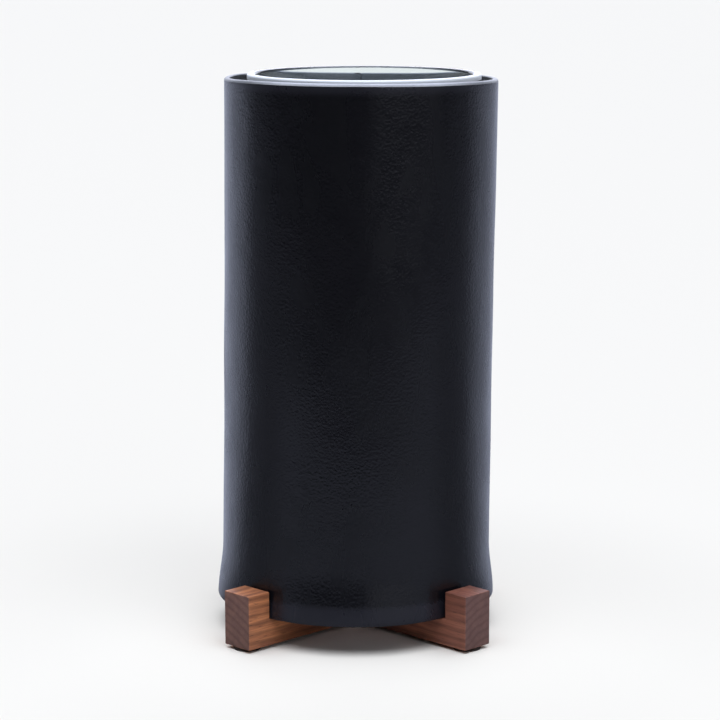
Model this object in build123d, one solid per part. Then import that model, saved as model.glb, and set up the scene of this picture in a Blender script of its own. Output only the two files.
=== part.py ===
from build123d import *

import math
import os

# A clear glass cylinder vase in an open tube of thick leather. Both stand loose on a
# walnut cross: two beams half-lapped at their middles, with an upright block at each
# end that keeps the tube from sliding off.
# Millimetres. Z is up, the floor is z = 0 and the cross's middle is x = y = 0.
# The front faces -Y, each beam lies on a diagonal, and the tube's seam is at the back.

# Foot pads
PAD_DIAMETER = 12.0
PAD_THICKNESS = 1.5
PAD_EDGE_BREAK = 0.2

# Walnut beams
BEAM_WIDTH = 14.7
ARM_THICKNESS = 11.6
BLOCK_HEIGHT = 23.8
BLOCK_LENGTH = 12.0
BLOCK_INNER_FACE = 61.0
EDGE_BREAK = 0.5

# Leather tube
TUBE_RADIUS = 59.6
TUBE_HEIGHT = 227.7
LEATHER_THICKNESS = 2.4
FLARE_HEIGHT = 14.0
FLARE_OUT = 1.0
LEATHER_EDGE_RADIUS = 0.7
SEAM_GAP = 0.4

# Waxed thread that laces the seam
THREAD_DIAMETER = 1.0
THREAD_BEND_RADIUS = 0.8
THREAD_PROUD = 0.3
STITCH_COUNT = 36
STITCH_HOLE_FROM_SEAM = 3.5
FIRST_STITCH_FROM_EDGE = 6.0

# Glass vase, a stock four-inch cylinder that stands loose, right of the middle
GLASS_DIAMETER = 101.6
GLASS_HEIGHT = 230.9
GLASS_WALL = 3.5
GLASS_BASE = 8.0
GLASS_HEEL_RADIUS = 5.0
GLASS_INNER_CORNER = 6.0
GLASS_OFFSET_X = 3.0

# Worked out from the dimensions above
BEAM_LENGTH = 2 * (BLOCK_INNER_FACE + BLOCK_LENGTH)
ARM_TOP = PAD_THICKNESS + ARM_THICKNESS
BLOCK_TOP = PAD_THICKNESS + BLOCK_HEIGHT
PAD_FROM_MIDDLE = BLOCK_INNER_FACE + BLOCK_LENGTH / 2
TUBE_TOP = ARM_TOP + TUBE_HEIGHT

# Each arm's direction in plan, in degrees from +X
ARM_DIRECTIONS = {
    "front_left": 225,
    "front_right": 315,
    "back_right": 45,
    "back_left": 135,
}


def foot_pad(direction):
    """A round felt disc stuck under the end of one arm."""
    disc = Cylinder(
        PAD_DIAMETER / 2,
        PAD_THICKNESS,
        align=(Align.CENTER, Align.CENTER, Align.MIN),
    )
    rim = disc.edges().sort_by(Axis.Z)[0]
    disc = chamfer(rim, PAD_EDGE_BREAK)
    return Rot(0, 0, direction) * Pos(PAD_FROM_MIDDLE, 0, 0) * disc


def plain_beam():
    """One beam along X with its two upright blocks, before the lap is cut."""
    end = BEAM_LENGTH / 2
    outline = Polyline(
        (-end, PAD_THICKNESS),
        (end, PAD_THICKNESS),
        (end, BLOCK_TOP),
        (BLOCK_INNER_FACE, BLOCK_TOP),
        (BLOCK_INNER_FACE, ARM_TOP),
        (-BLOCK_INNER_FACE, ARM_TOP),
        (-BLOCK_INNER_FACE, BLOCK_TOP),
        (-end, BLOCK_TOP),
        close=True,
    )
    side = Plane.XZ * make_face(outline)
    beam = extrude(side, BEAM_WIDTH / 2, both=True)
    across = beam.edges().filter_by(Axis.Y)
    inside_corners = across.filter_by_position(Axis.Z, ARM_TOP - 0.1, ARM_TOP + 0.1)
    exposed = beam.edges() - inside_corners
    return chamfer(exposed, EDGE_BREAK)


def lap_recess(bottom):
    """The block of space that half the arm's thickness of the other beam fills."""
    recess = Box(
        BEAM_WIDTH,
        BEAM_WIDTH + 2,
        ARM_THICKNESS / 2,
        align=(Align.CENTER, Align.CENTER, Align.MIN),
    )
    return Pos(0, 0, bottom) * recess


def lower_cross_beam():
    """Runs from front left to back right, with its lap open at the top."""
    beam = plain_beam() - lap_recess(PAD_THICKNESS + ARM_THICKNESS / 2)
    return Rot(0, 0, ARM_DIRECTIONS["back_right"]) * beam


def upper_cross_beam():
    """Runs from front right to back left, with its lap open at the bottom."""
    beam = plain_beam() - lap_recess(PAD_THICKNESS)
    return Rot(0, 0, ARM_DIRECTIONS["back_left"]) * beam


def flare_at(height):
    """How far the tube's foot has spread, at a height above its lower edge."""
    below_start = max(0.0, FLARE_HEIGHT - height)
    return FLARE_OUT * (below_start / FLARE_HEIGHT) ** 2


def tube_wall_line(radius):
    """The tube's face at this radius, from its top down to its flared foot."""
    flare_start = ARM_TOP + FLARE_HEIGHT
    straight = Line((radius, TUBE_TOP), (radius, flare_start))
    half_way = FLARE_HEIGHT / 2
    spread = ThreePointArc(
        (radius, flare_start),
        (radius + flare_at(half_way), ARM_TOP + half_way),
        (radius + FLARE_OUT, ARM_TOP),
    )
    return straight + spread


def leather_sleeve():
    """A rectangle of thick leather rolled into a tube, its edges meeting at the back."""
    inner_radius = TUBE_RADIUS - LEATHER_THICKNESS
    foot = Line((inner_radius + FLARE_OUT, ARM_TOP), (TUBE_RADIUS + FLARE_OUT, ARM_TOP))
    top = Line((inner_radius, TUBE_TOP), (TUBE_RADIUS, TUBE_TOP))
    section = make_face(
        tube_wall_line(TUBE_RADIUS) + foot + tube_wall_line(inner_radius) + top
    )
    corners = section.vertices().filter_by_position(Axis.Y, TUBE_TOP, TUBE_TOP)
    corners += section.vertices().filter_by_position(Axis.Y, ARM_TOP, ARM_TOP)
    section = fillet(corners, LEATHER_EDGE_RADIUS)
    tube = revolve(Plane.XZ * section, Axis.Z)
    seam = Pos(0, TUBE_RADIUS, TUBE_TOP / 2) * Box(SEAM_GAP, 20, 2 * TUBE_TOP)
    return tube - seam


def stitch_heights():
    """The height of each pair of stitch holes, evenly spaced up the seam."""
    first = ARM_TOP + FIRST_STITCH_FROM_EDGE
    last = TUBE_TOP - FIRST_STITCH_FROM_EDGE
    pitch = (last - first) / (STITCH_COUNT - 1)
    return [first + number * pitch for number in range(STITCH_COUNT)]


def seam_thread():
    """One thread that crosses the seam outside and climbs to the next pair inside."""
    side = STITCH_HOLE_FROM_SEAM
    route = []
    for height in stitch_heights():
        face = TUBE_RADIUS + flare_at(height - ARM_TOP)
        outside = math.sqrt(face**2 - side**2) + THREAD_PROUD
        inside = outside - LEATHER_THICKNESS - 2 * THREAD_PROUD
        route += [
            (side, inside, height),
            (side, outside, height),
            (-side, outside, height),
            (-side, inside, height),
        ]
    path = FilletPolyline(*route, radius=THREAD_BEND_RADIUS)
    section = Plane(origin=route[0], z_dir=(0, 1, 0)) * Circle(THREAD_DIAMETER / 2)
    return sweep(section, path)


def glass_vase():
    """A straight glass cylinder with a thick base, a round heel and a round rim."""
    outer = GLASS_DIAMETER / 2
    inner = outer - GLASS_WALL
    outside = Pos(0, 0, ARM_TOP) * Cylinder(
        outer, GLASS_HEIGHT, align=(Align.CENTER, Align.CENTER, Align.MIN)
    )
    outside = fillet(outside.edges().sort_by(Axis.Z)[0], GLASS_HEEL_RADIUS)
    hollow = Pos(0, 0, ARM_TOP + GLASS_BASE) * Cylinder(
        inner, GLASS_HEIGHT, align=(Align.CENTER, Align.CENTER, Align.MIN)
    )
    hollow = fillet(hollow.edges().sort_by(Axis.Z)[0], GLASS_INNER_CORNER)
    vase = outside - hollow
    rim_top = ARM_TOP + GLASS_HEIGHT
    rims = vase.edges().filter_by_position(Axis.Z, rim_top - 0.01, rim_top + 0.01)
    vase = fillet(rims.filter_by(GeomType.CIRCLE), 0.49 * GLASS_WALL)
    return Pos(GLASS_OFFSET_X, 0, 0) * vase


def write(node, shape):
    """Saves one sub-part under its node's name."""
    export_step(shape, f"parts/{node}.step")
    size = shape.bounding_box().size
    print(f"{node}: {size.X:.1f} x {size.Y:.1f} x {size.Z:.1f} mm")


os.makedirs("parts", exist_ok=True)
write("lower_cross_beam", lower_cross_beam())
write("upper_cross_beam", upper_cross_beam())
for corner, direction in ARM_DIRECTIONS.items():
    write(f"foot_pad_{corner}", foot_pad(direction))
write("leather_sleeve", leather_sleeve())
write("seam_thread", seam_thread())
write("glass_vase", glass_vase())
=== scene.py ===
# %% [markdown]
# # A leather-sleeved glass vase on a walnut cross
#
# A clear glass cylinder stands inside an open tube of thick black leather. Both stand
# loose on a low cross of walnut, between four upright blocks. This lesson takes the
# engineering model of the vase as a fixed frame and gives every part its real surface:
# hand-cut leather, sawn walnut, blown glass, pressed felt and waxed thread.
#
# The frame is loaded first. Its parts are kept, hidden, and give the sizes and places
# that the finished pieces are built to.

import math

import bmesh
import bpy
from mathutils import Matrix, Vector, noise


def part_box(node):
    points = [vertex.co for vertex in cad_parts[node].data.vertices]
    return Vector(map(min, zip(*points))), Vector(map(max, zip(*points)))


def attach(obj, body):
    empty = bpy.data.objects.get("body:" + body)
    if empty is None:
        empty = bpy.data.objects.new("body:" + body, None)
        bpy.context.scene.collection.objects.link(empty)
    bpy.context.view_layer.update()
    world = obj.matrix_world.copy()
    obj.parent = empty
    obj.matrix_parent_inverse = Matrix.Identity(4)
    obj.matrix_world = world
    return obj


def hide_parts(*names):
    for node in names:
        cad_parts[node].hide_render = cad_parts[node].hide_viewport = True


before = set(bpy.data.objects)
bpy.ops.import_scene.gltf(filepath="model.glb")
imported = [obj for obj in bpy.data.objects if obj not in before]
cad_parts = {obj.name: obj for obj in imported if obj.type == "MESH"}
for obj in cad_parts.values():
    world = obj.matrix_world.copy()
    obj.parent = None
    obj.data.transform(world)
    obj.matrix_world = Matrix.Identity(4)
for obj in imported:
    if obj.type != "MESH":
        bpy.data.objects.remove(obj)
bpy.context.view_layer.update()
print("the frame holds", sorted(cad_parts))

# %% [markdown]
# ## The camera
#
# The camera comes first, because everything after it is judged through it. It stands a
# metre in front of the vase on a long lens, a little above the rim, and looks down just
# enough to see over the near edge of the glass. It is a hair to the right of the cross.

# %% Place the camera
camera_back = 1.0635
camera_up = 0.3117
camera_right = 0.0012
camera_down_tilt = math.radians(10.34)
camera_lens_mm = 122.3

bpy.ops.object.camera_add(
    location=(camera_right, -camera_back, camera_up),
    rotation=(math.pi / 2 - camera_down_tilt, 0, 0),
)
camera = bpy.context.object
camera.name = "studio_camera"
camera.data.lens = camera_lens_mm
bpy.context.scene.camera = camera

# %% [markdown]
# ## Helpers for working by hand
#
# Every operator acts on what is selected, so each step starts by deselecting all and
# making one piece active. In edit mode, faces and edges are picked by their place. That
# is what a hand with a mouse does, written down.


# %% Selecting and shaping helpers
def only(piece):
    """Deselects everything but this piece, and makes it the active one."""
    bpy.ops.object.select_all(action="DESELECT")
    piece.select_set(True)
    bpy.context.view_layer.objects.active = piece
    return piece


def open_up(piece, kind):
    """Goes into edit mode on one piece, picking VERT, EDGE or FACE, with none picked."""
    only(piece)
    bpy.ops.object.mode_set(mode="EDIT")
    bpy.ops.mesh.select_mode(type=kind)
    bpy.ops.mesh.select_all(action="DESELECT")


def close_up():
    """Leaves edit mode."""
    bpy.ops.object.mode_set(mode="OBJECT")


def pick_faces(piece, wanted):
    """In edit mode, picks the faces for which wanted(face) is true."""
    mesh = bmesh.from_edit_mesh(piece.data)
    for face in mesh.faces:
        face.select_set(bool(wanted(face)))
    mesh.select_flush_mode()
    bmesh.update_edit_mesh(piece.data)


def pick_edges(piece, wanted):
    """In edit mode, picks the edges for which wanted(middle, edge) is true."""
    mesh = bmesh.from_edit_mesh(piece.data)
    for edge in mesh.edges:
        middle = (edge.verts[0].co + edge.verts[1].co) / 2
        edge.select_set(bool(wanted(middle, edge)))
    mesh.select_flush_mode()
    bmesh.update_edit_mesh(piece.data)


def near(value, target, within=1e-5):
    """True where two lengths are the same, to a hundredth of a millimetre."""
    return abs(value - target) < within


def settle(piece, name):
    """Names a piece and works its place, turn and scale into its mesh."""
    only(piece)
    bpy.ops.object.transform_apply(location=True, rotation=True, scale=True)
    piece.name = name
    piece.data.name = name
    return piece


def smooth(piece, degrees=35):
    """Shades a piece smoothly, but keeps creases sharper than this angle."""
    only(piece)
    bpy.ops.object.shade_smooth_by_angle(angle=math.radians(degrees))


def move_points(piece, shape):
    """Puts each point of a piece where shape(point) says, like a soft push by hand."""
    for vertex in piece.data.vertices:
        vertex.co = shape(vertex.co.copy())
    piece.data.update()


def ease(amount):
    """Runs smoothly from 0 to 1, flat at both ends."""
    amount = min(1.0, max(0.0, amount))
    return amount * amount * (3 - 2 * amount)


# %% [markdown]
# ## A small language for shader maths
#
# A node tree of sums is hard to read, so one class wraps a socket and lets it stand in
# an expression: `1 - mask` adds the Math node by itself. A second class is a finish
# under construction. Its `add` method makes any other node from its type, its settings
# and what goes into it.


# %% Sockets that add up
class Socket:
    """A node's output that can be used in an expression."""

    def __init__(self, finish, link):
        self.finish = finish
        self.link = link

    def maths(self, operation, first, second=0.0):
        settings = {"operation": operation}
        return self.finish.add("ShaderNodeMath", settings, {0: first, 1: second})

    def __add__(self, other):
        return self.maths("ADD", self, other)

    def __radd__(self, other):
        return self.maths("ADD", other, self)

    def __sub__(self, other):
        return self.maths("SUBTRACT", self, other)

    def __rsub__(self, other):
        return self.maths("SUBTRACT", other, self)

    def __mul__(self, other):
        return self.maths("MULTIPLY", self, other)

    def __truediv__(self, other):
        return self.maths("DIVIDE", self, other)

    def __pow__(self, other):
        return self.maths("POWER", self, other)

    def absolute(self):
        return self.maths("ABSOLUTE", self)

    def sine(self):
        return self.maths("SINE", self)

    def root(self):
        return self.maths("SQRT", self)

    def wrapped(self, period):
        """The distance past the last whole multiple of period."""
        return self.maths("FLOORED_MODULO", self, period)


class Finish:
    """A material or a world that is being built from nodes."""

    def __init__(self, owner, output_kind):
        self.owner = owner
        owner.use_nodes = True
        self.tree = owner.node_tree
        self.tree.nodes.clear()
        self.output = self.tree.nodes.new(output_kind)

    def add(self, kind, settings=None, inputs=None, output=0):
        """Adds a node, sets it up, feeds it, and gives back one of its outputs."""
        node = self.tree.nodes.new(kind)
        for name, value in (settings or {}).items():
            setattr(node, name, value)
        for name, value in (inputs or {}).items():
            self.feed(node.inputs[name], value)
        return Socket(self, node.outputs[output])

    def feed(self, socket, value):
        """Links a socket to another one, or sets it to a constant."""
        if isinstance(value, Socket):
            self.tree.links.new(value.link, socket)
        else:
            socket.default_value = value

    def show(self, surface):
        """Sends a shader to the finish's output."""
        self.tree.links.new(surface.link, self.output.inputs["Surface"])
        return self.owner


def new_finish(name):
    """Starts an empty material."""
    return Finish(bpy.data.materials.new(name), "ShaderNodeOutputMaterial")


# %% [markdown]
# Short forms cover most of what the finishes need: where a point is, a cloudy noise, a
# cellular noise, a mix of two colours, a fade between two numbers, and a raised surface.


# %% Short forms for common nodes
def place_on(finish):
    """The point's place on the piece itself, in metres."""
    return finish.add("ShaderNodeTexCoord", output="Object")


def stretched(finish, where, scale, turn=0.0, shift=(0, 0, 0)):
    """The same place on a ruler that is moved, turned about Z and scaled."""
    inputs = {
        "Vector": where,
        "Location": shift,
        "Rotation": (0, 0, turn),
        "Scale": scale,
    }
    return finish.add("ShaderNodeMapping", {"vector_type": "POINT"}, inputs)


def cloud(finish, where, per_metre, detail=3.0, rough=0.5, warp=0.0):
    """Cloudy noise from 0 to 1, so many patches to the metre."""
    inputs = {
        "Vector": where,
        "Scale": per_metre,
        "Detail": detail,
        "Roughness": rough,
        "Distortion": warp,
    }
    return finish.add("ShaderNodeTexNoise", {}, inputs, "Fac")


def cells(finish, where, per_metre, feature="F1"):
    """The distance from the middle or the wall of the nearest cell, in cell widths."""
    settings = {"feature": feature}
    inputs = {"Vector": where, "Scale": per_metre}
    return finish.add("ShaderNodeTexVoronoi", settings, inputs, "Distance")


def blended(finish, share, first, second):
    """Two colours mixed by a share from 0 to 1."""
    inputs = {0: share, 6: first, 7: second}
    return finish.add("ShaderNodeMix", {"data_type": "RGBA"}, inputs, 2)


def faded(finish, value, low, high, to_low=0.0, to_high=1.0):
    """Eases a value from the span low to high over to another span, clamped."""
    settings = {"interpolation_type": "SMOOTHSTEP"}
    inputs = {0: value, 1: low, 2: high, 3: to_low, 4: to_high}
    return finish.add("ShaderNodeMapRange", settings, inputs)


def raised(finish, height, depth, under=None):
    """A normal bent as if the surface stood out by height times depth, in metres."""
    inputs = {"Height": height, "Distance": depth, "Strength": 1.0}
    if under is not None:
        inputs["Normal"] = under
    return finish.add("ShaderNodeBump", {}, inputs, "Normal")


def axes_of(finish, where):
    """The x, y and z of a place, each as a number."""
    split = finish.add("ShaderNodeSeparateXYZ", {}, {"Vector": where})
    outputs = split.link.node.outputs
    return [Socket(finish, outputs[number]) for number in range(3)]


# %% [markdown]
# ## The leather tube
#
# On the real vase this is one rectangle of vegetable-tanned leather, 2.4 mm thick and
# dyed black, rolled into a tube and laced edge to edge at the back. It stands by its
# own stiffness, so it isn't quite true: it leans back and to the right, its foot has
# spread between the four blocks, and its sides bow in by a fraction of a millimetre.
#
# A cloth simulation would let it slump, which leather this thick doesn't do. So it is
# modelled by hand: a tube is cut open at the back, given its thickness, its cut edges
# are rounded, and then it is pushed out of true by one function, which the lacing and
# the finish use too.

# %% The tube's size, from the frame
tube_low, tube_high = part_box("leather_sleeve")
glass_low, glass_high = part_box("glass_vase")
tube_foot = tube_low.z
tube_top = tube_high.z
tube_height = tube_top - tube_foot
cad_foot_flare = 0.0010
tube_radius = (tube_high.x - tube_low.x) / 2 - cad_foot_flare
hide_thickness = 0.0024
print(f"tube radius {tube_radius * 1000:.1f} mm, height {tube_height * 1000:.1f} mm")

# %% [markdown]
# The lean is a straight line from the middle of the foot to the middle of the rim. A
# tube that leans back has its near rim high and its far rim low, so the rim tips too,
# while the foot stays flat on the beams. The rim was cut by hand, so it also rises and
# dips by about a millimetre, most of all in two swells towards the back. A swell is
# written as its bearing in degrees, anticlockwise from the right, and its height.

# %% How the tube stands out of true
foot_middle = Vector((-0.00075, 0.0005, 0))
rim_middle = Vector((0.00175, 0.0046, 0))
flare_between_blocks = 0.0020
flare_held_back = 0.00125
flare_height = 0.023
waist_bow = 0.0004
hand_cut = 0.0002
rim_rise = 0.00046
rim_rise_sides = 0.00024
rim_rise_right = 0.0004
rim_rise_near = 0.00078
rim_swells = ((155, 0.001), (28, 0.0007))
swell_sharpness = 12
dent_depth = 0.00035
dents_round = 1.3
dents_per_metre = 22
cut_waves_per_metre = 30


def lean_at(height):
    """How far the tube's middle has moved sideways, at a height above its foot."""
    share = height / tube_height
    return foot_middle.lerp(rim_middle, share)


def spread_at(height, angle):
    """How much wider than a true tube the leather stands, at a height and an angle."""
    block_share = ((1 - math.cos(4 * angle)) / 2) ** 3
    foot_flare = flare_between_blocks - flare_held_back * block_share
    foot_share = ease((flare_height - height) / flare_height)
    bow = math.sin(math.pi * min(1.0, max(0.0, height / tube_height)))
    round_x = math.cos(angle) * dents_round
    round_y = math.sin(angle) * dents_round
    dent = noise.noise(Vector((round_x, round_y, height * dents_per_metre))) * bow
    return foot_flare * foot_share - waist_bow * bow + dent_depth * dent


def out_of_true(point):
    """Where a point of the true tube ends up on the real one."""
    height = point.z - tube_foot
    angle = math.atan2(point.y, point.x)
    radius = math.hypot(point.x, point.y) + spread_at(height, angle)
    middle = lean_at(height)
    tip = (rim_middle - foot_middle) / tube_height
    rim_share = ease(height / tube_height)
    drop = (point.x * tip.x + point.y * tip.y) * rim_share
    cut = rim_rise + rim_rise_sides * math.cos(2 * angle)
    cut += rim_rise_right * math.cos(angle) - rim_rise_near * math.sin(angle)
    for towards, rise in rim_swells:
        cut += rise * max(0.0, math.cos(angle - math.radians(towards))) ** swell_sharpness
    round_rim = Vector((point.x, point.y, 0)) * cut_waves_per_metre
    wander = hand_cut * noise.noise(round_rim + Vector((0, 0, 5)))
    return Vector(
        (
            middle.x + radius * math.cos(angle),
            middle.y + radius * math.sin(angle),
            point.z - drop + (cut + wander) * rim_share,
        )
    )


# %% [markdown]
# A cylinder with no ends is the rolled hide. Subdividing only its upright edges gives
# it rows, so that it can bend along its height. Splitting the edges at the back opens
# it. The two cut edges stay pressed together, as the lacing holds them.

# %% Roll the hide
hide_columns = 280
hide_rows = 120

bpy.ops.mesh.primitive_cylinder_add(
    vertices=hide_columns,
    radius=tube_radius,
    depth=tube_height,
    end_fill_type="NOTHING",
    location=(0, 0, tube_foot + tube_height / 2),
)
sleeve = settle(bpy.context.object, "leather_tube")
open_up(sleeve, "EDGE")
pick_edges(sleeve, lambda middle, edge: near(middle.z, tube_foot + tube_height / 2))
bpy.ops.mesh.subdivide(number_cuts=hide_rows)
pick_edges(
    sleeve,
    lambda middle, edge: near(middle.x, 0)
    and middle.y > 0
    and not near(edge.verts[0].co.z, edge.verts[1].co.z),
)
bpy.ops.mesh.edge_split(type="EDGE")
close_up()

# %% [markdown]
# Solidify gives the hide its thickness, inwards, and marks the inside and the cut edges
# as finishes of their own: the grain side, the rough flesh side and the burnished edge
# of a hide look quite different. The sharp cut edges are then rounded, as a maker does
# with an edge beveller. The rim's outer edge gets a wider round than the others.

# %% Give the hide its thickness and round its edges
for _ in ("grain side", "flesh side", "cut edges"):
    sleeve.data.materials.append(None)
only(sleeve)
thickness = sleeve.modifiers.new("thickness", "SOLIDIFY")
thickness.thickness = hide_thickness
thickness.offset = -1
thickness.use_even_offset = True
thickness.material_offset = 1
thickness.material_offset_rim = 2
bpy.ops.object.modifier_apply(modifier=thickness.name)

rim_round = 0.0012
edge_round = 0.0005
open_up(sleeve, "EDGE")
pick_edges(
    sleeve,
    lambda middle, edge: near(middle.z, tube_top)
    and near(middle.xy.length, tube_radius, 1e-4)
    and edge.calc_face_angle(0) > math.radians(60),
)
bpy.ops.mesh.bevel(
    offset=rim_round, segments=5, profile=0.5, material=2, clamp_overlap=True
)
bpy.ops.mesh.select_all(action="DESELECT")
bpy.ops.mesh.edges_select_sharp(sharpness=math.radians(60))
bpy.ops.mesh.bevel(
    offset=edge_round, segments=3, profile=0.5, material=2, clamp_overlap=True
)
close_up()
move_points(sleeve, out_of_true)
smooth(sleeve, 50)
print("leather tube has", len(sleeve.data.polygons), "faces")

# %% [markdown]
# ### The grain side
#
# Black aniline dye leaves a nearly black surface that still shows the animal's skin: a
# fine pebble, pores in drifts, a few stretched growth wrinkles, and cloudy patches
# where the wax took better. The patches change the gloss more than the colour. The foot
# and the rim are handled most, and are rubbed smoother. Both bands are also painted a
# lighter blue grey, a painted reflection of the white paper and the light.

# %% Make the grain finish
stitch_side = 0.0035
stitch_first = 0.006
stitch_count = 36
stitch_pitch = (tube_height - 2 * stitch_first) / (stitch_count - 1)


def seam_places(finish, where):
    """Sideways distance from the seam, height above the foot, and which way is back."""
    x, y, z = axes_of(finish, where)
    height = z - tube_foot
    lean = (rim_middle.x - foot_middle.x) / tube_height
    sideways = x - (foot_middle.x + height * lean)
    return sideways, height, y


def grain_finish():
    finish = new_finish("black_grain_leather")
    where = place_on(finish)
    sideways, height, y = seam_places(finish, where)

    patches = cloud(finish, where, 22, 4, 0.55, 0.6)
    streaks = cloud(finish, stretched(finish, where, (1, 1, 0.35)), 60, 4, 0.6, 1.2)
    drifts = faded(finish, cloud(finish, where, 34, 3, 0.6), 0.46, 0.66)

    pebble = cells(finish, where, 950, "SMOOTH_F1")
    pores = faded(finish, cells(finish, where, 1500), 0.0, 0.32, 1.0, 0.0)
    crease_noise = cloud(finish, stretched(finish, where, (1, 1, 2.6)), 45, 5, 0.6, 1.2)
    creases = faded(finish, (crease_noise - 0.5).absolute(), 0.0, 0.035, 1.0, 0.0)
    crease_places = faded(finish, cloud(finish, where, 16, 2, 0.5), 0.5, 0.68)

    along = (height - stitch_first + stitch_pitch / 2).wrapped(stitch_pitch)
    up = along - stitch_pitch / 2
    aside = sideways.absolute() - stitch_side
    from_hole = (up * up + aside * aside).root()
    at_back = faded(finish, y, 0.02, 0.03)
    holes = faded(finish, from_hole, 0.0004, 0.0014, 1.0, 0.0) * at_back
    lip = faded(finish, sideways.absolute(), 0.0002, 0.0012, 1.0, 0.0) * at_back

    foot_rub_and_sheen = faded(finish, height, 0.0065, 0.0095, 1.0, 0.0)
    rim_rub_and_sheen = faded(finish, height, tube_height - 0.004, tube_height, 0.0, 1.0)
    rubbed_and_sheen = foot_rub_and_sheen.maths("MAXIMUM", foot_rub_and_sheen, rim_rub_and_sheen)

    dye = blended(finish, patches, (0.003, 0.003, 0.0042, 1), (0.006, 0.006, 0.0085, 1))
    dye = blended(finish, drifts * pores * 0.5, dye, (0.003, 0.003, 0.0035, 1))
    # Creases are painted a little lighter: a painted sheen along the wrinkles.
    dye = blended(finish, creases * crease_places * 0.04, dye, (0.03, 0.03, 0.036, 1))
    # The foot and rim bands are painted a lighter blue grey: painted reflection of the paper
    # and the light, on top of the real smoother rub.
    dye = blended(finish, rubbed_and_sheen * 0.7, dye, (0.018, 0.018, 0.026, 1))
    # Stitch holes are painted darker: painted shade inside the holes.
    dye = blended(finish, holes * 0.8, dye, (0.001, 0.001, 0.001, 1))

    gloss = faded(finish, patches, 0.3, 0.7, 0.3, 0.22)
    gloss = gloss + faded(finish, streaks, 0.35, 0.7, -0.03, 0.04)
    gloss = gloss + rubbed_and_sheen * 0.04

    normal = raised(finish, patches, 0.0001)
    normal = raised(finish, creases * crease_places, 0.000005, normal)
    normal = raised(finish, pebble * (1 - rubbed_and_sheen * 0.8), 0.00008, normal)
    normal = raised(finish, (1 - pores) * drifts, 0.00007, normal)
    normal = raised(finish, 1 - holes - lip * 0.4, 0.0005, normal)

    inputs = {"Base Color": dye, "Roughness": gloss, "Normal": normal}
    return finish.show(finish.add("ShaderNodeBsdfPrincipled", {}, inputs))


# %% [markdown]
# ### The flesh side and the cut edges
#
# The inside of the hide is the flesh side, matt and fibrous. Its back half is painted a
# lighter grey, painted light where the light from above falls on it through the mouth.
# The cut edges were rubbed with wax and a wooden slicker. Along the rim a light blue grey
# is painted, most of all in front, a painted highlight of the light above on the rounded
# edge. At the foot and the seam the edge is dyed black.


# %% Make the flesh and edge finishes
def flesh_finish():
    finish = new_finish("black_flesh_leather")
    where = place_on(finish)
    nap = cloud(finish, where, 900, 4, 0.7, 0.8)
    patches = cloud(finish, where, 40, 3, 0.55)
    dye = blended(finish, patches, (0.05, 0.052, 0.056, 1), (0.085, 0.088, 0.094, 1))
    dye = blended(finish, faded(finish, nap, 0.45, 0.75), dye, (0.13, 0.134, 0.142, 1))
    y = axes_of(finish, where)[1]
    # The back of the flesh side is painted lighter grey: painted light from above.
    painted_light_at_back = faded(finish, y, 0.035, 0.05)
    dye = blended(finish, painted_light_at_back * 0.8, dye, (0.3, 0.32, 0.34, 1))
    normal = raised(finish, nap, 0.0004)
    inputs = {"Base Color": dye, "Roughness": 0.85, "Normal": normal}
    return finish.show(finish.add("ShaderNodeBsdfPrincipled", {}, inputs))


def edge_finish():
    finish = new_finish("burnished_leather_edge")
    where = place_on(finish)
    lines = cloud(finish, stretched(finish, where, (1, 1, 6)), 700, 3, 0.6, 0.4)
    patches = cloud(finish, where, 60, 3, 0.5)
    x, y, z = axes_of(finish, where)
    beside_seam = faded(finish, x.absolute(), 0.0005, 0.002, 1.0, 0.0)
    at_seam = beside_seam * faded(finish, y, 0, 0.01)
    at_rim = faded(finish, z, tube_top - 0.006, tube_top - 0.003) * (1 - at_seam)
    # A light blue grey is painted along the rim, strongest in front: a painted highlight of
    # the light from above.
    painted_rim_highlight = faded(finish, y, -0.048, -0.03, 1.0, 0.5)
    highlight_grey = blended(finish, patches, (0.38, 0.4, 0.44, 1), (0.56, 0.59, 0.64, 1))
    scored = faded(finish, lines, 0.45, 0.75) * 0.35
    highlight_grey = blended(finish, scored, highlight_grey, (0.22, 0.23, 0.26, 1))
    dye = blended(finish, patches, (0.01, 0.01, 0.013, 1), (0.02, 0.02, 0.025, 1))
    dye = blended(finish, at_rim * painted_rim_highlight, dye, highlight_grey)
    gloss = faded(finish, patches, 0.3, 0.7, 0.32, 0.44)
    normal = raised(finish, lines, 0.00012)
    inputs = {"Base Color": dye, "Roughness": gloss, "Normal": normal}
    return finish.show(finish.add("ShaderNodeBsdfPrincipled", {}, inputs))


sleeve.data.materials[0] = grain_finish()
sleeve.data.materials[1] = flesh_finish()
sleeve.data.materials[2] = edge_finish()
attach(sleeve, "sleeve")
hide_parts("leather_sleeve")

# %% [markdown]
# ## The lacing
#
# One waxed thread closes the seam. Outside it crosses straight from hole to hole, and
# inside it climbs to the next pair. The route is laid with four points to a stitch, on
# the leaning tube, and a smooth curve through them gives the line the thread takes. The
# thread itself is a three-lobed section swept along that line and twisted as it goes,
# which is what laid thread looks like close up.

# %% Lay the thread's route
thread_radius = 0.0005
thread_proud = 0.00035
twist_length = 0.0026
route_step = 0.00045


def stitch_route():
    """The corners of the thread's way, from the lowest stitch to the highest."""
    route = []
    outer = tube_radius + thread_proud
    inner = tube_radius - hide_thickness - thread_proud
    for number in range(stitch_count):
        height = tube_foot + stitch_first + number * stitch_pitch
        for side, radius in ((1, inner), (1, outer), (-1, outer), (-1, inner)):
            back = math.sqrt(radius**2 - stitch_side**2)
            route.append(out_of_true(Vector((side * stitch_side, back, height))))
    return route


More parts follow.
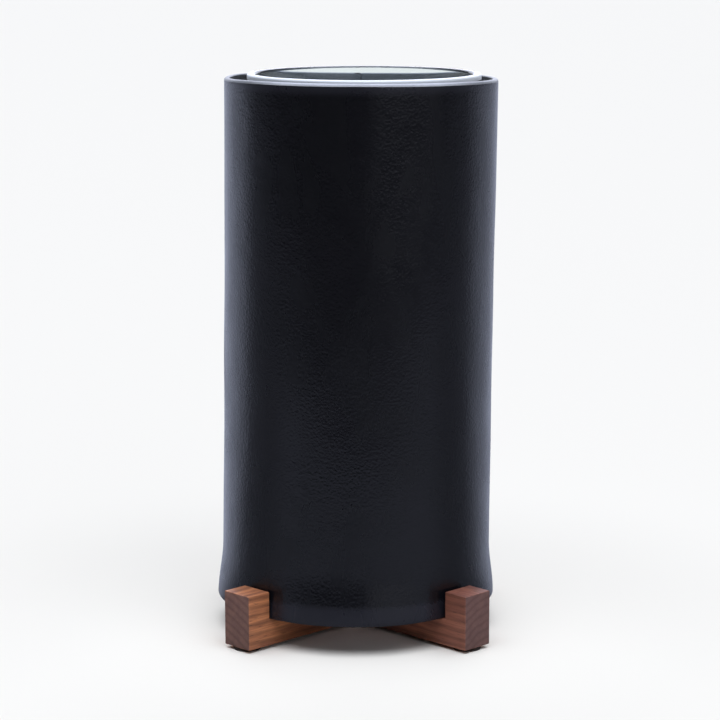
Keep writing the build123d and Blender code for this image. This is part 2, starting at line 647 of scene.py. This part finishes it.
def route_line(route):
    """A smooth curve near the route's corners, as a list of points."""
    curve = bpy.data.curves.new("route", "CURVE")
    curve.dimensions = "3D"
    spline = curve.splines.new("NURBS")
    spline.points.add(len(route) - 1)
    for point, corner in zip(spline.points, route):
        point.co = (*corner, 1)
    spline.order_u = 3
    spline.use_endpoint_u = True
    spline.resolution_u = 12
    carrier = bpy.data.objects.new("route", curve)
    bpy.context.collection.objects.link(carrier)
    bpy.context.view_layer.update()
    mesh = bpy.data.meshes.new_from_object(carrier)
    line = [vertex.co.copy() for vertex in mesh.vertices]
    bpy.data.objects.remove(carrier)
    bpy.data.curves.remove(curve)
    bpy.data.meshes.remove(mesh)
    return line


def evenly(line, step):
    """The same line with its points the same distance apart."""
    spaced, carried = [line[0]], 0.0
    for start, end in zip(line, line[1:]):
        run = (end - start).length
        while carried + run >= step:
            share = (step - carried) / run
            start = start.lerp(end, share)
            spaced.append(start)
            run = (end - start).length
            carried = 0.0
        carried += run
    return spaced


thread_line = evenly(route_line(stitch_route()), route_step)
print("thread is", round(route_step * len(thread_line), 3), "m long")

# %% [markdown]
# The section is a closed curve with three lobes, one for each ply. Sweeping it as a
# bevel object and raising the tilt from point to point lays the twist into the mesh.

# %% Twist the thread
def ply_section():
    """A three-lobed outline, the shape of three plies laid together."""
    bpy.ops.curve.primitive_bezier_circle_add(radius=thread_radius, location=(0, 0, 0))
    outline = bpy.context.object
    spline = outline.data.splines[0]
    outline.data.splines.remove(spline)
    spline = outline.data.splines.new("POLY")
    corners = 12
    spline.points.add(corners - 1)
    for number, point in enumerate(spline.points):
        angle = 2 * math.pi * number / corners
        reach = thread_radius * (0.9 + 0.14 * math.cos(3 * angle))
        point.co = (reach * math.cos(angle), reach * math.sin(angle), 0, 1)
    spline.use_cyclic_u = True
    return outline


def laced_thread(line):
    """A twisted thread along a line, as a mesh."""
    section = ply_section()
    curve = bpy.data.curves.new("thread", "CURVE")
    curve.dimensions = "3D"
    curve.bevel_mode = "OBJECT"
    curve.bevel_object = section
    curve.use_fill_caps = True
    spline = curve.splines.new("POLY")
    spline.points.add(len(line) - 1)
    for number, (point, place) in enumerate(zip(spline.points, line)):
        point.co = (*place, 1)
        point.tilt = 2 * math.pi * number * route_step / twist_length
    thread = bpy.data.objects.new("thread", curve)
    bpy.context.collection.objects.link(thread)
    only(thread)
    bpy.ops.object.convert(target="MESH")
    thread = bpy.context.object
    bpy.data.objects.remove(section)
    return settle(thread, "lacing_thread")


def thread_finish():
    finish = new_finish("waxed_black_thread")
    where = place_on(finish)
    fibres = cloud(finish, where, 2500, 3, 0.6, 0.5)
    wax = cloud(finish, where, 180, 2, 0.5)
    dye = blended(finish, fibres, (0.008, 0.008, 0.009, 1), (0.03, 0.03, 0.032, 1))
    gloss = faded(finish, wax, 0.35, 0.65, 0.36, 0.55)
    normal = raised(finish, fibres, 0.00006)
    inputs = {"Base Color": dye, "Roughness": gloss, "Normal": normal}
    return finish.show(finish.add("ShaderNodeBsdfPrincipled", {}, inputs))


thread = laced_thread(thread_line)
thread.data.materials.append(thread_finish())
smooth(thread, 60)
print("lacing has", len(thread.data.polygons), "faces")
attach(thread, "sleeve")
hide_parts("seam_thread")

# %% [markdown]
# ## The walnut cross
#
# Each beam is one piece of walnut: an arm with an upright block left standing at each
# end. On the bench its side profile is drawn on a board, the waste is sawn away, and
# the edges are eased with sandpaper. The model is made in the same order. A sheet is
# cut along straight lines, the waste faces are deleted, what remains is extruded to the
# beam's width, and the edges that a hand would touch are bevelled.

# %% The beam's sizes
beam_low, beam_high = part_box("lower_cross_beam")
pad_low, pad_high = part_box("foot_pad_front_left")
beam_bottom = beam_low.z
block_top = beam_high.z
arm_top = tube_foot
beam_width = 0.0155
block_inner_face = 0.061
block_length = 0.012
beam_end = block_inner_face + block_length
lap_level = (beam_bottom + arm_top) / 2
eased_edge = 0.0004


def in_recess(x, z, lap_open_at_top):
    """True inside the notch that the other beam fills."""
    beside = abs(x) > beam_width / 2
    upper_half = z > lap_level
    return not beside and z < arm_top and upper_half == lap_open_at_top


def sawn_beam(name, turn, lap_open_at_top):
    """Saws one beam from a board, eases its edges and turns it to its diagonal."""
    bpy.ops.mesh.primitive_plane_add(size=2, rotation=(math.pi / 2, 0, 0))
    beam = bpy.context.object
    beam.scale = (beam_end, (block_top - beam_bottom) / 2, 1)
    beam.location = (0, beam_width / 2, (block_top + beam_bottom) / 2)
    settle(beam, name)
    open_up(beam, "FACE")
    for cut in (-block_inner_face, -beam_width / 2, beam_width / 2, block_inner_face):
        bpy.ops.mesh.select_all(action="SELECT")
        bpy.ops.mesh.bisect(plane_co=(cut, 0, 0), plane_no=(1, 0, 0))
    for cut in (arm_top, lap_level):
        bpy.ops.mesh.select_all(action="SELECT")
        bpy.ops.mesh.bisect(plane_co=(0, 0, cut), plane_no=(0, 0, 1))

    def waste(face):
        middle = face.calc_center_median()
        above_arm = middle.z > arm_top and abs(middle.x) < block_inner_face
        return above_arm or in_recess(middle.x, middle.z, lap_open_at_top)

    pick_faces(beam, waste)
    bpy.ops.mesh.delete(type="FACE")
    bpy.ops.mesh.select_all(action="SELECT")
    bpy.ops.mesh.extrude_region_move(
        TRANSFORM_OT_translate={"value": (0, -beam_width, 0)}
    )
    bpy.ops.mesh.select_all(action="SELECT")
    bpy.ops.mesh.normals_make_consistent(inside=False)

    def touched(middle, edge):
        corner = edge.is_manifold and edge.calc_face_angle() > math.radians(60)
        inside_corner = near(abs(middle.x), block_inner_face) and near(middle.z, arm_top)
        in_lap = abs(middle.x) < beam_width / 2 + 1e-5 and not (
            near(abs(middle.y), beam_width / 2)
            and near(middle.z, beam_bottom if lap_open_at_top else arm_top)
        )
        return corner and not inside_corner and not in_lap

    bpy.ops.mesh.select_mode(type="EDGE")
    pick_edges(beam, touched)
    bpy.ops.mesh.bevel(offset=eased_edge, segments=3, profile=0.5, clamp_overlap=True)
    close_up()
    beam.rotation_euler = (0, 0, turn)
    settle(beam, name)
    smooth(beam, 40)
    return beam


# %% [markdown]
# ### Walnut
#
# Walnut shows what a tree is: rings. The beam is cut from a log whose middle lies some
# way off, so the rings run nearly straight along the sides and curve across the sawn
# ends. The finish measures each point's distance from that middle and turns it into
# light and dark wood, so the rings on sides and ends meet. The ends are darker and more
# purple, because end grain drinks more oil. Pores are short dark dashes along the grain
# that become dots on the end. The two beams are lit and shaded copies of one walnut: the
# lower one is painted lighter and oranger, the upper one darker, as painted light for
# how the light falls on the two front blocks.


# %% Make the walnut finish
ring_width = 0.0034
log_taper = 3.0


def walnut_finish(name, turn, log_middle, seed, light, middle):
    """Walnut with its grain along a beam that is turned by this angle."""
    finish = new_finish(name)
    where = stretched(finish, place_on(finish), (1, 1, 1), -turn)
    along, across, up = axes_of(finish, where)

    wobble = cloud(finish, stretched(finish, where, (0.12, 1, 1), 0, seed), 90, 3, 0.5)
    from_middle_y = across - log_middle[0] + (wobble - 0.5) * 0.004
    from_middle_z = up - log_middle[1] + (wobble - 0.5) * 0.003
    distance = (from_middle_y * from_middle_y + from_middle_z * from_middle_z).root()
    turns = distance * (1 / ring_width) + along * log_taper
    ring = (turns * (2 * math.pi)).sine() * 0.5 + 0.5
    late_wood = ring**2.5

    figure = cloud(finish, stretched(finish, where, (0.1, 1, 1), 0, seed), 260, 4, 0.6)
    fibre = cloud(finish, stretched(finish, where, (0.03, 1, 1), 0, seed), 1900, 3, 0.6)
    pore_place = stretched(finish, where, (0.09, 1, 1), 0, seed)
    pores = faded(finish, cells(finish, pore_place, 1300), 0.05, 0.22, 1.0, 0.0)
    tone = cloud(finish, stretched(finish, where, (0.5, 1, 1), 0, seed), 24, 2, 0.5)

    dark = (0.065, 0.026, 0.016, 1)
    wood = blended(finish, faded(finish, figure, 0.36, 0.64), light, middle)
    wood = blended(finish, late_wood * 0.4, wood, dark)
    wood = blended(finish, faded(finish, fibre, 0.4, 0.75) * 0.45, wood, dark)
    wood = blended(finish, faded(finish, tone, 0.4, 0.7) * 0.5, wood, middle)
    wood = blended(finish, pores * 0.75, wood, (0.012, 0.006, 0.004, 1))

    normal_direction = finish.add("ShaderNodeTexCoord", output="Normal")
    turned_normal = stretched(finish, normal_direction, (1, 1, 1), -turn)
    facing_along = axes_of(finish, turned_normal)[0].absolute()
    end_grain = faded(finish, facing_along, 0.75, 0.97)
    end_wood = blended(finish, late_wood * 0.3 + 0.1, (0.15, 0.084, 0.079, 1), dark)
    end_wood = blended(finish, pores * 0.5, end_wood, (0.02, 0.011, 0.009, 1))
    wood = blended(finish, end_grain * 0.85, wood, end_wood)

    gloss = faded(finish, figure, 0.3, 0.7, 0.42, 0.55) + end_grain * 0.1
    normal = raised(finish, 1 - pores, 0.00008)
    normal = raised(finish, fibre, 0.00004, normal)
    normal = raised(finish, 1 - late_wood, 0.00003, normal)
    inputs = {"Base Color": wood, "Roughness": gloss, "Normal": normal}
    return finish.show(finish.add("ShaderNodeBsdfPrincipled", {}, inputs))


# %% Saw and lay both beams
beam_cuts = {
    "walnut_beam_lower": ("lower_cross_beam", math.pi / 4, True, (0.03, -0.05)),
    "walnut_beam_upper": ("upper_cross_beam", 3 * math.pi / 4, False, (-0.026, -0.058)),
}
# The lower beam's colours are painted lighter and the upper beam's darker: painted light and
# shade on one walnut.
lit_and_shaded_woods = {
    "walnut_beam_lower": ((0.62, 0.24, 0.1, 1), (0.34, 0.122, 0.055, 1)),
    "walnut_beam_upper": ((0.44, 0.165, 0.098, 1), (0.23, 0.08, 0.05, 1)),
}
for name, (node, turn, lap_open_at_top, log_middle) in beam_cuts.items():
    beam = sawn_beam(name, turn, lap_open_at_top)
    seed = (len(name) * 0.37, 3.1 * turn, 1.7)
    wood = walnut_finish(f"{name}_wood", turn, log_middle, seed, *lit_and_shaded_woods[name])
    beam.data.materials.append(wood)
    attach(beam, "stand")
    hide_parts(node)
    print(name, "has", len(beam.data.polygons), "faces")

# %% [markdown]
# ## The felt pads
#
# A disc of pressed wool felt is stuck under each arm's end. It is punched from a sheet,
# so its edge is square but soft, and the weight has squashed it a little. One pad is
# modelled and then copied to the four places that the frame gives.


# %% Punch one pad and copy it
def felt_finish():
    finish = new_finish("brown_felt")
    where = place_on(finish)
    fuzz = cloud(finish, where, 2200, 4, 0.7, 1.5)
    clumps = cloud(finish, where, 500, 2, 0.5)
    wool = blended(finish, fuzz, (0.012, 0.007, 0.006, 1), (0.055, 0.033, 0.026, 1))
    wool = blended(finish, clumps * 0.4, wool, (0.02, 0.012, 0.01, 1))
    normal = raised(finish, fuzz, 0.0003)
    inputs = {"Base Color": wool, "Roughness": 0.95, "Normal": normal}
    return finish.show(finish.add("ShaderNodeBsdfPrincipled", {}, inputs))


def punched_pad():
    """One soft-edged disc, standing on the floor at the middle."""
    pad_radius = (pad_high.x - pad_low.x) / 2
    pad_thickness = pad_high.z - pad_low.z
    bpy.ops.mesh.primitive_cylinder_add(
        vertices=72,
        radius=pad_radius,
        depth=pad_thickness,
        location=(0, 0, pad_thickness / 2),
    )
    pad = settle(bpy.context.object, "felt_pad")
    open_up(pad, "EDGE")
    pick_edges(pad, lambda middle, edge: near(edge.verts[0].co.z, edge.verts[1].co.z))
    bpy.ops.mesh.bevel(offset=pad_thickness * 0.22, segments=3, profile=0.5)
    bpy.ops.mesh.select_mode(type="FACE")
    pick_faces(pad, lambda face: abs(face.normal.z) > 0.99 and len(face.verts) > 8)
    bpy.ops.mesh.inset(thickness=pad_radius * 0.25)
    bpy.ops.mesh.inset(thickness=pad_radius * 0.35)
    close_up()

    def fluffed(point):
        rim = math.hypot(point.x, point.y) / pad_radius
        push = 1 - 0.02 * rim * abs(noise.noise(point * 2500))
        return Vector((point.x * push, point.y * push, point.z))

    move_points(pad, fluffed)
    smooth(pad, 45)
    return pad


felt = felt_finish()
pattern_pad = punched_pad()
for node in sorted(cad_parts):
    if not node.startswith("foot_pad"):
        continue
    low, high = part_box(node)
    pad = pattern_pad.copy()
    pad.data = pattern_pad.data.copy()
    bpy.context.collection.objects.link(pad)
    pad.location = ((low.x + high.x) / 2, (low.y + high.y) / 2, 0)
    settle(pad, node.replace("foot_pad", "felt_pad"))
    pad.data.materials.append(felt)
    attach(pad, "stand")
    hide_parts(node)
bpy.data.objects.remove(pattern_pad)

# %% [markdown]
# ## The glass
#
# A florist's cylinder is blown into a mould: straight sides, a thick base with a
# rounded heel, a slight hollow underneath, and a rim whose corners a flame has softened.
# It starts as a solid cylinder. Its top is inset by the wall's thickness and pushed
# down to the floor of the vase, and the edges that the flame and the mould round off
# are bevelled with several segments.

# %% Blow the glass
glass_radius = (glass_high.x - glass_low.x) / 2
glass_middle = (glass_high.x + glass_low.x) / 2
glass_height = glass_high.z - glass_low.z
glass_wall = 0.0035
glass_base = 0.008
heel_radius = 0.005
floor_corner = 0.006
punt_height = 0.0008
rim_softening = glass_wall * 0.3


def level_ring(level, radius):
    """Picks the round edge at this height and this distance from the middle."""

    def wanted(middle, edge):
        return all(
            near(end.co.z, level) and near(math.hypot(end.co.x, end.co.y), radius, 1e-4)
            for end in edge.verts
        )

    return wanted


def blown_glass():
    bpy.ops.mesh.primitive_cylinder_add(
        vertices=240,
        radius=glass_radius,
        depth=glass_height,
        location=(0, 0, glass_height / 2),
    )
    glass = settle(bpy.context.object, "glass_cylinder")
    open_up(glass, "FACE")
    pick_faces(glass, lambda face: face.normal.z > 0.99)
    bpy.ops.mesh.inset(thickness=glass_wall)
    depth = glass_height - glass_base
    bpy.ops.mesh.extrude_region_move(TRANSFORM_OT_translate={"value": (0, 0, -depth)})
    pick_faces(glass, lambda face: face.normal.z < -0.99)
    bpy.ops.mesh.inset(thickness=glass_radius * 0.3)
    bpy.ops.mesh.inset(thickness=glass_radius * 0.15)
    bpy.ops.transform.translate(value=(0, 0, punt_height))
    bpy.ops.mesh.select_mode(type="EDGE")
    inner_radius = glass_radius - glass_wall
    pick_edges(glass, level_ring(glass_base, inner_radius))
    bpy.ops.mesh.bevel(offset=floor_corner, segments=10, profile=0.5)
    pick_edges(glass, level_ring(0, glass_radius))
    bpy.ops.mesh.bevel(offset=heel_radius, segments=10, profile=0.5)
    outer_rim = level_ring(glass_height, glass_radius)
    inner_rim = level_ring(glass_height, inner_radius)
    pick_edges(glass, lambda middle, edge: outer_rim(middle, edge) or inner_rim(middle, edge))
    bpy.ops.mesh.bevel(offset=rim_softening, segments=6, profile=0.5)
    close_up()
    glass.location = (glass_middle, 0, glass_low.z)
    settle(glass, "glass_cylinder")
    smooth(glass, 50)
    return glass


# %% [markdown]
# Clear glass takes its colour from iron: a thin wall looks clear, and only a long way
# through it, as along the rim, looks sea green. A faint tint on each surface does the
# same, because light that runs inside the rim meets the surface many times. In front, a
# narrow white band is painted on the outer lip, a painted highlight that reads white
# against the leather. The thick base stands in a dark sleeve, and for scattered light it
# is painted a dusky brown: painted shade that keeps light off the paper under the vase.


# %% Make the glass finish
lip_band = 0.0024
lip_reach_in = glass_wall * 0.5
lip_fade_in = glass_wall * 0.62


def glass_finish():
    finish = new_finish("clear_soda_glass")
    where = place_on(finish)
    x, y, z = axes_of(finish, where)
    swirl = cloud(finish, stretched(finish, where, (1, 1, 0.3)), 18, 2, 0.4)
    # For scattered light the base is painted dusky brown: painted shade cast onto the paper
    # beneath.
    from_below = finish.add("ShaderNodeLightPath", output="Is Diffuse Ray")
    base = faded(finish, z, glass_low.z + 0.01, glass_low.z + 0.03, 1.0, 0.0)
    sea_green, painted_shade_brown = (0.88, 0.955, 0.955, 1), (0.14, 0.08, 0.08, 1)
    inputs = {
        "Base Color": blended(finish, base * from_below, sea_green, painted_shade_brown),
        "Roughness": 0.0,
        "IOR": 1.51,
        "Transmission Weight": 1.0,
        "Normal": raised(finish, swirl, 0.0001),
    }
    clear = finish.add("ShaderNodeBsdfPrincipled", {}, inputs)
    # The white band on the front of the lip is a painted highlight.
    sparkle = cloud(finish, where, 3000, 2, 0.6)
    lip_highlight_white = blended(finish, sparkle, (0.8, 0.86, 0.88, 1), (0.95, 0.97, 0.98, 1))
    lip_highlight_inputs = {
        "Base Color": lip_highlight_white,
        "Roughness": 0.5,
        "Normal": raised(finish, sparkle, 0.00003),
    }
    lip_highlight_shader = finish.add("ShaderNodeBsdfPrincipled", {}, lip_highlight_inputs)
    aside = x - glass_middle
    from_middle = (aside * aside + y * y).root()
    lip_inside, lip_outside = glass_radius - lip_fade_in, glass_radius - lip_reach_in
    outside = faded(finish, from_middle, lip_inside, lip_outside)
    lip_foot = glass_high.z - lip_band
    high = faded(finish, z, lip_foot - 0.0003, lip_foot + 0.0003)
    in_front = faded(finish, y, 0.0, 0.014, 1.0, 0.0)
    painted_lip_highlight = outside * high * in_front
    mixed = finish.add("ShaderNodeMixShader", {}, {0: painted_lip_highlight, 1: clear, 2: lip_highlight_shader})
    return finish.show(mixed)


glass = blown_glass()
glass.data.materials.append(glass_finish())
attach(glass, "glass")
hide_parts("glass_vase")
print("glass has", len(glass.data.polygons), "faces")

# %% [markdown]
# ## The studio
#
# The vase stands on white paper under one large soft light. White behind the leather
# draws its two bright edges, and the unlit side in front keeps its middle black, so the
# black tube reads as round. The whole room is painted in the world: a ceiling of light,
# a white backdrop, and a faint window in front on the right. The light is a little blue,
# and the paper a little warm, so that the paper looks white and the gloss looks cool.


# %% Paint the room
ceiling_light = 3.05
backdrop_light = 1.75
window_light = 0.45
paper_white = 0.94


def flat_bearing(finish, x, y):
    """The sideways and backward parts of a direction, with its height taken out."""
    level = (x * x + y * y + 1e-6).root()
    return x / level, y / level


def room():
    finish = Finish(bpy.data.worlds.new("white_room"), "ShaderNodeOutputWorld")
    direction = finish.add("ShaderNodeTexCoord", output="Generated")
    x, y, z = axes_of(finish, direction)
    right, back = flat_bearing(finish, x, y)
    below_ceiling = faded(finish, z, 0.71, 0.82, 1.0, 0.0)
    backdrop = faded(finish, back, 0.81, 0.91) * below_ceiling
    in_front_right = right * 0.62 - back * 0.79
    window = faded(finish, in_front_right, 0.86, 0.93) * below_ceiling
    ceiling = faded(finish, z, 0.71, 0.82)
    light = ceiling * ceiling_light + backdrop * backdrop_light + window * window_light
    looked_at = finish.add("ShaderNodeLightPath", output="Is Camera Ray")
    through_glass = finish.add("ShaderNodeLightPath", output="Is Transmission Ray")
    scattered = finish.add("ShaderNodeLightPath", output="Diffuse Depth")
    unscattered = scattered.maths("LESS_THAN", scattered, 0.5)
    seen = looked_at.maths("MAXIMUM", looked_at, through_glass * unscattered)
    strength = light * (1 - seen) + seen * paper_white
    tint = blended(finish, seen, (0.93, 0.97, 1.12, 1), (1, 1, 1, 1))
    inputs = {"Color": tint, "Strength": strength}
    shade = finish.add("ShaderNodeBackground", {}, inputs)
    bpy.context.scene.world = finish.show(shade)


room()

# %% [markdown]
# The paper is a wide white sheet. The leather mirrors it: bright paper behind the tube
# gives the edges, and grey paper in front, which ends half a metre away, gives the
# softer light on the lower half. That grading is only in what a gloss mirrors. To the
# eye the paper is white everywhere, with a pool of painted light round the vase that
# lifts the shade where the tube keeps some of the light off it.


# %% Lay the paper
painted_light_radius = 0.11
painted_light_forward = 0.02


def paper_finish():
    finish = new_finish("white_paper")
    where = place_on(finish)
    x, y, z = axes_of(finish, where)
    right, back = flat_bearing(finish, x, y)
    behind = faded(finish, back, 0.1, 0.5)
    in_front = faded(finish, back, -0.6, -0.2, 0.26, 0.15)
    mirrored = in_front * (1 - behind) + (0.58 - right * 0.1) * behind
    near_edge = faded(finish, y, -0.62, -0.46, 0.15, 1.0)
    glossy = finish.add("ShaderNodeLightPath", output="Is Glossy Ray")
    through_glass = finish.add("ShaderNodeLightPath", output="Is Transmission Ray")
    in_gloss = glossy * (1 - through_glass)
    fibre = cloud(finish, where, 900, 2, 0.5)
    # A pool of painted light round the vase lifts the paper's shade there.
    forward = y + painted_light_forward
    away_squared = x * x + forward * forward
    painted_light_pool = (away_squared * away_squared * (1 / painted_light_radius**4) + 1) ** -1
    whiteness = painted_light_pool * 0.19 + 0.78 + fibre * 0.01
    white = blended(finish, whiteness, (0, 0, 0, 1), (0.995, 0.96, 0.844, 1))
    grey = blended(finish, mirrored * near_edge, (0, 0, 0, 1), (0.93, 0.97, 1.08, 1))
    inputs = {"Color": blended(finish, in_gloss, white, grey), "Roughness": 0.5}
    return finish.show(finish.add("ShaderNodeBsdfDiffuse", {}, inputs))


bpy.ops.mesh.primitive_plane_add(size=40, location=(0, 0, 0))
paper = settle(bpy.context.object, "paper_floor")
paper.data.materials.append(paper_finish())
bpy.context.scene.view_settings.view_transform = "Standard"
